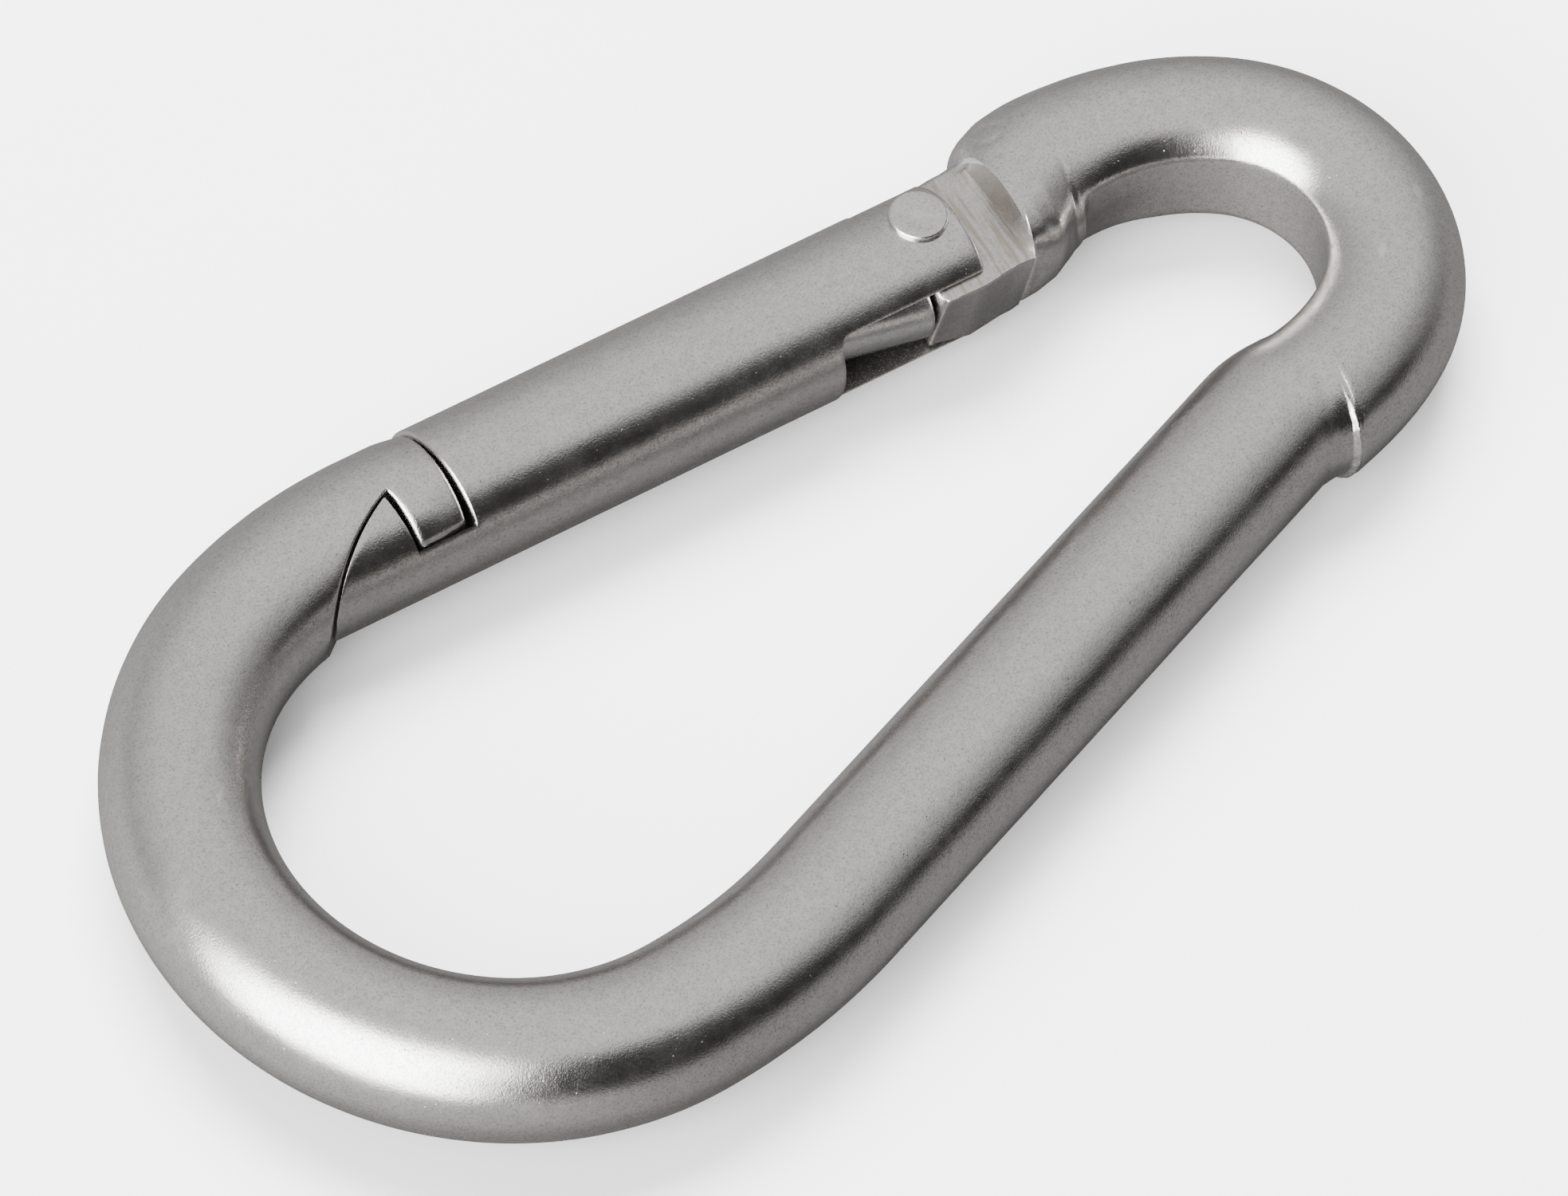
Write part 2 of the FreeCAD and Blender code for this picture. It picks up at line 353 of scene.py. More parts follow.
class Skin:
    """Collects vertices and faces of one closed mesh."""

    def __init__(self):
        self.points = []
        self.faces = []

    def add(self, xy, z):
        """Add points given as plane positions and heights; returns their indices."""
        first = len(self.points)
        xy, z = np.broadcast_arrays(np.atleast_1d(xy), np.atleast_1d(z))
        self.points += [(p.real, p.imag, h) for p, h in zip(xy, z)]
        return list(range(first, len(self.points)))

    def strip(self, a, b, closed=True):
        """Quads between two rows of indices."""
        n = len(a)
        for k in range(n if closed else n - 1):
            j = (k + 1) % n
            quad = [a[k], a[j], b[j], b[k]]
            kept = [v for i, v in enumerate(quad) if v != quad[i - 1]]
            if len(set(kept)) > 2:
                self.faces.append(kept)

    def fan(self, ring, tip):
        for k in range(len(ring)):
            self.faces.append([ring[k], ring[(k + 1) % len(ring)], tip])

    def cap(self, ring, shrink=CAP_RINGS):
        """Close a convex ring with smaller rings and a fan."""
        points = np.array([self.points[i] for i in ring])
        middle = points.mean(0)
        last = ring
        for size in shrink:
            inner = middle + (points - middle) * size
            row = self.add(inner[:, 0] + 1j * inner[:, 1], inner[:, 2])
            self.strip(last, row)
            last = row
        self.fan(last, self.add(complex(middle[0], middle[1]), middle[2])[0])

    def follow(self, last, row, shrink=CAP_RINGS):
        """Join a row to the one before it, or close the piece behind it if it's the first."""
        if last is None:
            self.cap(row, shrink)
        else:
            self.strip(last, row)
        return row

    def mesh(self, name):
        data = bpy.data.meshes.new(name)
        data.from_pydata([Vector(p) * MM for p in self.points], [], self.faces)
        data.validate()
        data.polygons.foreach_set("use_smooth", [True] * len(data.polygons))
        piece = place_in_scene(name, data)
        tidy_normals(piece)
        return piece


def tidy_normals(piece):
    """Face every polygon outward and keep cut edges sharp."""
    work = bmesh.new()
    work.from_mesh(piece.data)
    bmesh.ops.dissolve_degenerate(work, dist=1e-8, edges=work.edges[:])
    bmesh.ops.recalc_face_normals(work, faces=work.faces[:])
    if work.calc_volume(signed=True) < 0:
        bmesh.ops.reverse_faces(work, faces=work.faces[:])
    work.to_mesh(piece.data)
    work.free()
    piece.data.set_sharp_from_angle(angle=math.radians(50))


# ---------------- body
# Distances between rings along the path
seat_step, plain_step, near_step, ridge_step = 0.22, 0.6, 0.3, 0.07
coin_step, bend_step = 0.45, 0.12
# Corners of a plain section just past the seat, which settle over a length of spine
seat_upper_angle, seat_lower_angle, settle_length = 172, 176, 40
# Lengths over which the coined wall starts and ends
coin_rise, coin_fall = 0.9, 1.3


def seat_crossing(centre, outward):
    """How far out from centre the curved cut of the latch's seat lies."""
    away = centre - tooth_back
    b = dot(away, outward)
    return -b + math.sqrt(max(0.0, b * b - abs(away) ** 2 + tooth_back_r ** 2))


def nose_rings():
    """The nose from its end back to the latch's throat."""
    hook_angle = math.degrees(math.acos(nose_hook_t / bar_r))
    throat_t = seat_crossing(on_gate(throat_s), out)
    throat_angle = math.degrees(math.acos(throat_t / bar_r))
    nose_u = run_where(path_s, nose_end_s, 0, 2)

    def nose_ring(s, inset=0.0, lean=0.0):
        u = nose_u + nose_end_s - s
        worn = nose_wear * ease((s - nose_end_s + nose_wear_length) / nose_wear_length)
        r = bar_r - inset - worn
        ring = section(at_angle(throat_angle, r), at_angle(hook_angle, r), ARC, FLAT, nose_edge)
        hook_t = nose_hook_t + inset
        ring = np.where(ring.real < hook_t, hook_t + 1j * ring.imag, ring)
        shift = lean * np.clip(throat_t - ring.real, 0, None)
        return place_at(u), out, ring, shift

    rings = [nose_ring(nose_end_s - back, inset)
             for back, inset in ((0, 0.26), (0.08, 0.12), (0.22, 0.03), (0.4, 0))]
    rings += [nose_ring(s) for s in np.linspace(nose_end_s - 0.7, nose_hook_s + 0.5, 8)]
    lean = (nose_hook_s - throat_s) / (throat_t - nose_hook_t)
    rings.append(nose_ring(throat_s + edge, 0, lean))
    centre, lateral, ring, shift = nose_ring(throat_s + 0.01, 0, lean)
    below = np.clip((throat_t - ring.real) / 0.3, 0, 1)
    rings.append((centre, lateral, ring * (1 - edge / bar_r * below), shift))
    return rings


def seat_rings():
    """The bar where the tooth's curved seat is cut into it, and where that cut ends."""
    def seat_ring(u):
        centre, outward = place_at(u), outward_at(u)
        q = seat_crossing(centre, outward)
        if q < -bar_r + 0.03:
            return None
        corner = complex(q, math.sqrt(bar_r ** 2 - q * q))
        inner = complex(q, corner.imag * 0.8)
        return centre, outward, section(corner, inner, FLAT, FLAT, edge), 0
    rings = []
    u = run_where(path_s, throat_s, 0, 8)
    while (found := seat_ring(u)) is not None:
        rings.append(found)
        u += seat_step
    return rings, u


def body_rings():
    """Every section of the bar in order: (centre, outward, ring, shift along the gate). Also how
    many there are before the tongue."""
    rings = nose_rings()
    seat, seat_end = seat_rings()
    rings += seat
    spine_side = run_where(path_places.real, coin_start_x, 90, 135)
    gate_side = run_where(-path_places.real, -coin_start_x, 150, path_length)
    shoulder_u = tongue_u(shoulder_s)
    coin_angle = 180 - math.degrees(math.acos((bar_r - coin_depth) / bar_r))
    flat_angle = math.degrees(math.asin(tongue_half / bar_r))

    def plain_ring(u, side=ARC, inner=ARC, soften=edge, turn=0.0):
        """A round section. Its corners move gradually from the seat's to the coined wall's and
        on to the tongue's; turn takes its plane from the path's to the gate's."""
        settle = ease((u - seat_end) / settle_length)
        near_tongue = ease((u - gate_side - 1) / (shoulder_u - gate_side - 1.5))
        upper = seat_upper_angle + (flat_angle - seat_upper_angle) * settle
        lower = seat_lower_angle + (coin_angle - seat_lower_angle) * settle
        lower += (180 - flat_angle - coin_angle) * near_tongue
        centre, outward = place_at(u), outward_at(u)
        lateral = outward * (1 - turn) + out * turn
        lateral /= abs(lateral)
        ring = section(at_angle(upper, bar_r), at_angle(lower, bar_r), side, inner, soften)
        ring = ring.real / dot(lateral, outward) + 1j * ring.imag
        return centre, lateral, ring, 0

    def coin_ring(u):
        """A section with its inner side pressed flat, less so towards both ends."""
        depth = min(ease((u - spine_side + 0.1) / coin_rise),
                    ease((gate_side + 1.4 - u) / coin_fall))
        centre, lateral, natural, _ = plain_ring(u, soften=coin_edge)
        pressed = plain_ring(u, ARC, FLAT, coin_edge)[2]
        return centre, lateral, natural * (1 - depth) + pressed * depth, 0

    u = seat_end
    while u < spine_side - 6:
        rings.append(plain_ring(u))
        u += plain_step
    while u < spine_side - 0.3:
        rings.append(plain_ring(u, soften=coin_edge))
        u += near_step if u < spine_side - 2 else ridge_step
    while u < gate_side + 1.5:
        rings.append(coin_ring(u))
        u += ridge_step if u < spine_side + 2 else bend_step if u > gate_side - 1 else coin_step
    while u < shoulder_u - 0.45:
        turn = ease((u - gate_side - 1.4) / (shoulder_u - 2.0 - gate_side))
        rings.append(plain_ring(u, soften=coin_edge + (edge - coin_edge) * turn, turn=turn))
        u += bend_step
    rings += shoulder_rings(plain_ring)
    return rings + tongue_rings(plain_ring), len(rings)


def shoulder_rings(plain_ring):
    """The step from round bar down to the milled tongue."""
    found = []
    for ahead, drop in ((edge, 0), (0.03, 0.04), (0, edge)):
        centre, lateral, ring, _ = plain_ring(tongue_u(shoulder_s + ahead), turn=1)
        proud = np.clip(np.abs(ring.imag) - tongue_half, 0, None)
        lowered = ring.imag - np.sign(ring.imag) * np.minimum(proud, drop)
        found.append((centre, lateral, ring.real + 1j * lowered, proud * shoulder_slope))
    return found


def tongue_rings(plain_ring):
    """The milled tongue, down to its rounded heel."""
    found = []
    stations = [shoulder_s - 0.02]
    stations += list(np.linspace(shoulder_s - 0.3, heel_s + heel_round + 0.2, 14))
    stations += [heel_s + heel_round * (1 - math.sin(a)) for a in np.linspace(0.1, 1.35, 9)]
    stations += [heel_s + x for x in (0.06, 0.02, 0.0)]
    stations = sorted((s for s in stations if s >= heel_s), reverse=True)
    for s in stations:
        centre, lateral, ring, _ = plain_ring(tongue_u(s), FLAT, turn=1)
        ring = ring.real + 1j * np.clip(ring.imag, -tongue_half, tongue_half)
        left = heel_s + heel_round - s
        if left > 0:
            pull = heel_round - math.sqrt(max(0.0, heel_round ** 2 - left ** 2))
            drawn = ring.real * (1 - pull / ring.real.max())
            ring = np.where(ring.real > 0, drawn, ring.real) + 1j * ring.imag
        rim = max(0.0, heel_edge - (s - heel_s))
        found.append((centre, lateral, ring * (1 - rim * rim / heel_edge / 4), 0))
    return found


# Marks left by forging and pressing, as heights on the round skin. Tables run along s.
swelling = ((46.5, 0), (47.8, -0.12), (48.65, -0.45), (49.1, -0.2), (49.6, 0.1), (50.1, 0.3),
            (51.7, 0.5), (53.8, 0.42), (57, 0.15), (61, 0))
inner_swelling = ((49.2, 0), (50.2, 0.22), (51.4, 0.24), (52.2, 0.05), (53.2, -0.12), (55, 0))
under_bevel = ((53, 0), (54.6, 0.28), (57, 0.2), (60, 0))
bend_side = ((48.6, 3.62), (49.3, 4.4), (50.2, 5.0), (51, 5.4))
tongue_top_edge = ((41, -4.5), (44.7, -4.6), (46.4, -4.4), (48.5, -4.15), (52, -3.7))
tongue_low_edge = ((41, -3.4), (42.8, -3.5), (44.7, -3.95), (46.6, -3.72), (48, -3.56),
                   (48.65, -3.3))
pressed_start_s = 40
bend_end_s = 54.6
bend_side_lean = 0.07           # how much further out the pressed side is per mm of height
tongue_ripple = 0.05
die_line = (30.6 + 11.2j, 30.45 + 10.7j, 29.97 + 9.3j, 29.6 + 8.0j, 29.3 + 7.2j)
dimple = 28.3 + 14.75j
dimple_size = 0.95
dimple_depth = 0.07
press_lump = 28.2 + 7.7j
lump_turn = math.radians(-28)
lump_height = 0.11
ridge_x = 31.0
ridge_y = -15.5
ridge_skew = 0.22
ridge_height = 0.36
ridge_top_flatter = 0.2         # how much lower it is on the upper side
ridge_fade = 2.4
skin_waviness = 0.012
round_enough = 4.3              # marks fade out on points nearer to the bar's axis than this


def pressed_side(centre, ring):
    """The inner side of the tongue and of the bend beyond it, pressed flat and leaning."""
    s = along_gate(centre)
    middle = dot(centre - gate_foot, out)
    q, z = ring.real, ring.imag
    if centre.imag < gate_half_y or not pressed_start_s < s < bend_end_s:
        return ring
    if s < shoulder_s:
        level = np.clip(z, -tongue_half, tongue_half)
        high, low = along_table(tongue_top_edge, s), along_table(tongue_low_edge, s)
        side = low + (high - low) * (level + tongue_half) / (2 * tongue_half) - middle
        ripple = tongue_ripple * math.sin(7.3 * s) * math.sin(3.1 * s)
        side = side + ripple * ease(level - 2) * ease(47.6 - s)
        return np.where(q < 0, q * side / -np.sqrt(bar_r ** 2 - level * level), q) + 1j * z
    side = along_table(bend_side, s) + bend_side_lean * z
    cut = (np.maximum(-q, 0.01) ** -8 + side ** -8) ** (-1 / 8)
    share = ease((51.6 - s) / 1.6)
    return np.where(q < 0, q + (-cut - q) * share, q) + 1j * z


def off_line(p, line):
    """Signed distance from a plane polyline."""
    best = np.full(len(p), 1e9)
    for a, b in zip(line, line[1:]):
        step = b - a
        share = np.clip(((p - a) * np.conj(step)).real / abs(step) ** 2, 0, 1)
        away = p - (a + step * share)
        side = np.sign((away * np.conj(step)).imag)
        best = np.where(np.abs(away) < np.abs(best), np.abs(away) * side, best)
    return best


def skin_noise(p, z, scale, seed):
    return np.array([noise.noise(Vector((a.real / scale + seed, a.imag / scale, h / scale)))
                     for a, h in zip(p, z)])


def ridge_mark(p, z, q):
    """The raised, gritty ridge across the bar beyond the eye, with a dent before it."""
    d = p.real - ridge_x - ridge_skew * (p.imag - ridge_y)
    d = d + 0.07 * skin_noise(p, z, 0.5, 5.0)
    high = ease((z - 2.4) / 2.2)
    lift = (ridge_height - ridge_top_flatter * high) * ease(d / (0.26 + 0.6 * high))
    lift = lift * np.exp(-np.clip(d - 0.6, 0, None) / ridge_fade)
    dent = 0.1 * bell((d + 0.8) / 0.8) + 0.05 * bell((d - 0.5) / 0.14)
    grit = 0.05 * skin_noise(p, z, 0.2, 2.0) * bell((d - 0.15) / 0.25)
    return (lift - dent + grit) * ease((-9.4 - p.imag) / 3) * ease((q + 3.5) / 2)


def dimple_mark(p):
    """A shallow pressed ring."""
    near = p - dimple
    oval = np.hypot(near.real, near.imag * 1.35) / dimple_size
    return dimple_depth * bell((oval - 1) / 0.28)


def die_mark(p):
    """The fine line where the dies met: a scratch with a low burr beside it."""
    d = off_line(p, die_line)
    return 0.02 * bell((d - 0.25) / 0.2) - 0.035 * bell(d / 0.2)


def lump_mark(p):
    lump = (p - press_lump) * direction(lump_turn)
    return lump_height * bell(lump.real / 1.0) * bell(lump.imag / 0.55)


def forged_marks(p, ring):
    """Height of the skin above a true round bar at plane places p, for section points."""
    q, z = ring.real, ring.imag
    s = ((p - gate_foot) * np.conj(along)).real
    height = skin_waviness * skin_noise(p, z, 5.0, 3.0)
    bevel = 0
    if p.real.max() > 24 and p.imag.min() < -8:
        height += ridge_mark(p, z, q)
    if p.real.max() > 14 and p.imag.max() > gate_half_y:
        upper = ease(p.imag / 2)
        height += along_table(swelling, s) * np.clip(q / np.abs(ring), 0, 1) * upper
        height += along_table(inner_swelling, s) * ease(-q / np.abs(ring)) * upper
        under = ease((0.8 - z) / 2.8) * ease(-q / 2.5)
        bevel = along_table(under_bevel, s) * under * upper
        top = ease(z)
        height -= dimple_mark(p) * top
        height += die_mark(p) * top
        height += lump_mark(p) * top
    return height * ease((np.abs(ring) - round_enough) / 0.4) - bevel


def make_body():
    """The bar's skin, and the points of the shoulder's rim and of its wall."""
    skin = Skin()
    rows = []
    rings, tongue_start = body_rings()
    for centre, lateral, ring, shift in rings:
        ring = pressed_side(centre, ring)
        marks = forged_marks(centre + lateral * ring.real, ring)
        ring = ring * (1 + marks / np.abs(ring))
        row = skin.add(centre + lateral * ring.real + along * shift, ring.imag)
        rows.append(skin.follow(rows[-1] if rows else None, row))
    skin.cap(rows[-1])
    rim = {k for row in rows[tongue_start - 3:tongue_start] for k in row}
    wall = {k for row in rows[tongue_start - 1:tongue_start + 1] for k in row}
    return skin.mesh("hook_body"), rim, wall


# ---------------- gate
EAR_N, WEB_N, LOW_N, WALL_N, CHORD_N = 37, 27, 21, 7, 7
UPPER_N = 2 * EAR_N + WEB_N
web_angle = math.degrees(math.asin(slot_half / gate_r))


def add_gate_row(skin, ring, s):
    """Add ring points w = t + iz at one or several s."""
    ring = np.asarray(ring)
    return skin.add(gate_foot + along * s + out * ring.real, ring.imag)


def upper_angles(corner, soften):
    """Angles of the outer part of a gate ring between its two lower corners."""
    last = corner - math.degrees(soften / gate_r)
    ear = np.linspace(web_angle, last, EAR_N)
    web = inner_points(-web_angle, web_angle, WEB_N)
    return np.concatenate([-ear[::-1], web, ear])


def lower_angles(corner, soften):
    first = corner + math.degrees(soften / gate_r)
    return np.linspace(first, 360 - first, LOW_N)


def circle_points(angles, radius):
    return radius * np.exp(1j * np.radians(angles))


def clipped_ring(t):
    """Gate section below a flat cut at height t across the bar."""
    corner = complex(t, math.sqrt(gate_r ** 2 - t * t))
    angle = math.degrees(cmath.phase(corner))
    soften = min(edge, corner.imag * 0.3)
    spread = np.linspace(-1, 1, UPPER_N)
    flat = t + 1j * spread * (corner.imag - soften)
    low = circle_points(lower_angles(angle, min(soften, (180 - angle) * gate_r * 0.01)), gate_r)
    tip = (flat[-1] + 2 * corner + low[0]) / 4
    return np.concatenate([flat, [tip], low, [tip.conjugate()]])


def round_ring(corner, upper_r=gate_r, lower_r=gate_r):
    upper = circle_points(upper_angles(corner, edge), upper_r)
    low = circle_points(lower_angles(corner, edge), lower_r)
    tip = at_angle(corner, min(upper_r, lower_r))
    return np.concatenate([upper, [tip], low, [tip.conjugate()]])


def tooth_rows(skin):
    """Tooth and floor of the latch, up to the gate's leaning end."""
    back_r = tooth_back_r - latch_gap
    base_s = along_gate(tooth_back)
    base_t = dot(tooth_back - gate_foot, out)

    def back_t(s):
        return base_t + math.sqrt(back_r ** 2 - (s - base_s) ** 2)
    apex_t = back_t(tooth_front_s)
    tip_s = base_s - math.sqrt(back_r ** 2 - (-gate_r - base_t) ** 2)
    profile = [(s, back_t(s)) for s in np.linspace(tip_s + 0.06, tooth_front_s - 0.16, 30)]
    profile += [(tooth_front_s - 0.05, back_t(tooth_front_s - 0.05) - 0.01)]
    profile += [(tooth_front_s + 0.01, apex_t - 0.07)]
    profile += [(tooth_front_s + (tooth_low_s - tooth_front_s) * share + 0.01,
                 apex_t + (floor_t - apex_t) * share - 0.02)
                for share in (0.05, 0.3, 0.6, 0.85, 1.0)]
    profile += [(s, floor_t) for s in np.linspace(tooth_low_s + 0.25, gate_end_low_s - 0.02, 10)]
    last = None
    for s, t in profile:
        last = skin.follow(last, add_gate_row(skin, clipped_ring(t), s), ())
    return last


def end_rows(skin, last, corner):
    """The gate's end face and the round edge about it."""
    for inset, ahead in ((0.3, 0), (0.16, 0.01), (0.05, 0.06), (0, 0.18)):
        ring = round_ring(corner, gate_r - inset)
        places = np.arange(len(ring))
        upper = (places <= UPPER_N) | (places == len(ring) - 1)
        lean = gate_end_low_s - gate_end_slope * (ring.real - floor_t)
        s = np.where(upper, lean + ahead, gate_end_low_s + ahead)
        last = skin.follow(last, add_gate_row(skin, ring, s))
    return last


def slot_opening(s):
    """Half width of the slot near its rounded start."""
    ahead = max(0.0, slot_start_s + slot_corner_r - s)
    return slot_half - slot_corner_r + math.sqrt(max(0.0, slot_corner_r ** 2 - ahead ** 2))


def fork_parts(half):
    """Outer arc, wall and bore arc of the slotted section, with their corners."""
    corner_angle = 180 - math.degrees(math.asin(half / gate_r))
    outer = circle_points(upper_angles(corner_angle, edge), gate_r)
    corner = at_angle(corner_angle, gate_r)
    if half < bore_r:
        meet = complex(-math.sqrt(bore_r ** 2 - half ** 2), half)
    else:
        meet = complex(0, half)
    soft = corner + (meet - corner) * edge / abs(meet - corner)
    tip = (outer[-1] + 2 * corner + soft) / 4
    wall = np.linspace(soft, meet, WALL_N + 1)[:-1]
    start = math.degrees(cmath.phase(meet))
    bore = circle_points(inner_points(start, -start, WEB_N), bore_r)
    return outer, tip, wall, meet, bore


def fork_ring(half):
    outer, tip, wall, meet, bore = fork_parts(half)
    return np.concatenate([outer, [tip], wall, [meet], bore, [meet.conjugate()],
                           np.conj(wall[::-1]), [tip.conjugate()]])


def split_fork(row):
    """Take a row made from fork_ring apart: outer arc, two tips, two walls, two places where
    wall and bore meet, and the bore's arc."""
    wall_end = UPPER_N + 1 + WALL_N
    bore_end = wall_end + 1 + WEB_N
    walls = row[UPPER_N + 1:wall_end], row[bore_end + 1:-1][::-1]
    meets = row[wall_end], row[bore_end]
    return row[:UPPER_N], (row[UPPER_N], row[-1]), walls, meets, row[wall_end + 1:bore_end]


def inner_points(start, end, count):
    """Evenly spaced values between two others, without them."""
    return np.linspace(start, end, count + 2)[1:-1]


def fill_between(skin, a, b, ends_a, ends_b, s):
    """Rows of points at s from curve a to curve b, each between its two given ends."""
    count = len(ends_a)
    rows = []
    for k in range(count):
        share = (k + 1) / (count + 1)
        middle = add_gate_row(skin, a * (1 - share) + b * share, s)
        rows.append([ends_a[k]] + middle + [ends_b[k]])
    return rows


def strip_grid(skin, grid):
    for a, b in zip(grid, grid[1:]):
        skin.strip(a, b, False)


def make_gate():
    skin = Skin()
    latch_corner = math.degrees(math.acos(floor_t / gate_r))
    slot_corner = 180 - math.degrees(math.asin(slot_opening(slot_start_s) / gate_r))
    last = end_rows(skin, tooth_rows(skin), latch_corner)
    for s in np.linspace(gate_end_low_s + 0.5, slot_start_s - 0.3, 56):
        share = ease((s - gate_end_low_s) / (slot_start_s - gate_end_low_s))
        ring = round_ring(latch_corner + (slot_corner - latch_corner) * share)
        last = skin.follow(last, add_gate_row(skin, ring, s))
    last = slot_start_rows(skin, last, slot_corner)
    ear_rows(skin, fork_rows(skin, last))
    return skin.mesh("snap_gate")


def slot_start_rows(skin, last, corner):
    """The slot's end wall, with the bore opening through it."""
    for back, inset in ((0.14, 0), (0.04, 0.03)):
        ring = round_ring(corner, gate_r, gate_r - inset)
        last = skin.follow(last, add_gate_row(skin, ring, slot_start_s - back))
    half = slot_opening(slot_start_s)
    meet, bore = fork_parts(half)[3:]
    row = add_gate_row(skin, fork_ring(half), slot_start_s)
    upper, tips, walls, meets, bore_row = split_fork(row)
    low_outer = circle_points(lower_angles(corner, edge), gate_r - 0.13)
    low_row = add_gate_row(skin, low_outer, slot_start_s)
    skin.strip(last, upper + [tips[0]] + low_row + [tips[1]])
    start = math.degrees(cmath.phase(meet))
    bore_low = circle_points(inner_points(start, 360 - start, LOW_N), bore_r)
    bore_low_row = add_gate_row(skin, bore_low, slot_start_s)
    grid = [[tips[0]] + low_row + [tips[1]]]
    grid += fill_between(skin, low_outer, bore_low, *walls, slot_start_s)
    strip_grid(skin, grid + [[meets[0]] + bore_low_row + [meets[1]]])
    blind_bore(skin, [meets[0]] + bore_row + [meets[1]] + bore_low_row[::-1],
               np.concatenate([[meet], bore, [meet.conjugate()], bore_low[::-1]]))
    return row


def blind_bore(skin, last, ring):
    """The bore behind the slot, down to its drill point."""
    for s in (slot_start_s - 0.3, 32, 28, 24, 20, 16, bore_end_s):
        last = skin.follow(last, add_gate_row(skin, ring, s))
    last = skin.follow(last, add_gate_row(skin, ring * 0.4, bore_end_s - bore_cone * 0.6))
    skin.fan(last, add_gate_row(skin, [0j], bore_end_s - bore_cone)[0])


def fork_rows(skin, last):
    """The slotted length that is closed on its outer side."""
    stations = [slot_start_s + slot_corner_r * (1 - math.cos(a))
                for a in np.linspace(0.12, 1.57, 11)]
    stations += list(np.linspace(slot_start_s + slot_corner_r + 0.2, web_end_s, 24))
    for s in stations:
        last = skin.follow(last, add_gate_row(skin, fork_ring(slot_opening(s)), s))
    return last


def ear_rows(skin, row):
    """The web's end wall, then both ears to their rounded ends."""
    meet, bore = fork_parts(slot_half)[3:]
    upper, tips, walls, meets, bore_row = split_fork(row)
    web = circle_points(inner_points(web_angle, -web_angle, WEB_N), gate_r)
    chord = inner_points(meet, at_angle(web_angle, gate_r), CHORD_N)
    chords = [add_gate_row(skin, points, web_end_s) for points in (chord, np.conj(chord))]
    grid = [[meets[0]] + bore_row + [meets[1]]]
    grid += fill_between(skin, bore, web, *chords, web_end_s)
    strip_grid(skin, grid + [upper[EAR_N - 1:EAR_N + WEB_N + 1][::-1]])
    stations = [(s, 0.0) for s in np.linspace(web_end_s + 0.12, ear_end_s - ear_round, 40)]
    stations += [(ear_end_s - ear_round * (1 - math.sin(a)), ear_round * (1 - math.cos(a)))
                 for a in np.linspace(0.2, 1.5, 8)]
    arcs = upper[EAR_N + WEB_N:], upper[:EAR_N][::-1]
    for k, flip in enumerate((np.asarray, np.conj)):
        last = arcs[k] + [tips[k]] + walls[k] + [meets[k]] + chords[k]
        for s, inset in stations:
            last = skin.follow(last, add_gate_row(skin, flip(ear_ring(inset)), s))
        skin.cap(last)


def ear_ring(inset):
    radius = gate_r - inset
    rim = math.degrees(math.asin(slot_half / radius))
    arc = circle_points(np.linspace(rim, 180 - rim - math.degrees(edge / radius), EAR_N), radius)
    corner = at_angle(180 - rim, radius)
    meet = complex(0, slot_half)
    soft = corner + edge
    tip = (arc[-1] + 2 * corner + soft) / 4
    wall = np.linspace(soft, meet, WALL_N + 1)[:-1]
    chord = inner_points(meet, arc[0], CHORD_N)
    return np.concatenate([arc, [tip], wall, [meet], chord])


# ---------------- rivet, plunger, spring
TURN_N = 72
full_turn = np.exp(2j * math.pi * np.arange(TURN_N) / TURN_N)


def make_rivet():
    """Pin with a peened head on each ear."""
    skin = Skin()
    half = [(0.5, head_top - 0.05), (1.0, head_top - 0.02), (1.35, head_top)]
    half += [(head_r - 0.24 + head_round * math.sin(a),
              head_top - head_round + head_round * math.cos(a)) for a in np.linspace(0.1, 1.5, 8)]
    half += [(head_r - 0.02, head_top - 0.35), (head_r, head_seat_z),
             (rivet_r, head_seat_z - 0.05), (rivet_r, 3.4), (rivet_r, 0)]
    last = None
    for r, z in half + [(r, -z) for r, z in half[-2::-1]]:
        last = skin.follow(last, skin.add(pivot + full_turn * r, np.full(TURN_N, z)), (0.5,))
    skin.cap(last, (0.5,))
    return skin.mesh("hinge_rivet")


def plunger_profile():
    """Stations along the gate and radii: spigot, shank, then the nose and its edge."""
    start, back, bend = plunger_back_s - spigot_length, plunger_back_s, plunger_bend_s
    rows = [(start, spigot_r - 0.25), (start + 0.08, spigot_r - 0.08), (start + 0.3, spigot_r)]
    rows += [(back - 0.15, spigot_r), (back, spigot_r + 0.15)]
    rows += [(back, plunger_r - plunger_edge), (back + plunger_edge, plunger_r)]
    rows += [(s, plunger_r) for s in np.linspace(back + 1, bend + 0.2, 18)]
    rows += [(bend + 0.35, plunger_r - 0.08), (bend + 0.42, plunger_nose_r)]
    rows += [(s, plunger_nose_r) for s in np.linspace(bend + 0.6, plunger_front_s - 0.3, 26)]
    rows += [(plunger_front_s - plunger_edge * (1 - math.sin(a)),
              plunger_nose_r - plunger_edge * (1 - math.cos(a)))
             for a in np.linspace(0.2, 1.5, 7)]
    return rows


def make_plunger():
    """Guided shank with a spigot behind and a nose bent down towards the heel."""
    skin = Skin()
    drop = plunger_nose_drop / (plunger_front_s - plunger_bend_s)
    last = None
    for s, r in plunger_profile():
        ring = full_turn * r - drop * max(0.0, s - plunger_bend_s)
        last = skin.follow(last, add_gate_row(skin, ring, s))
    skin.cap(last)
    return skin.mesh("gate_plunger")


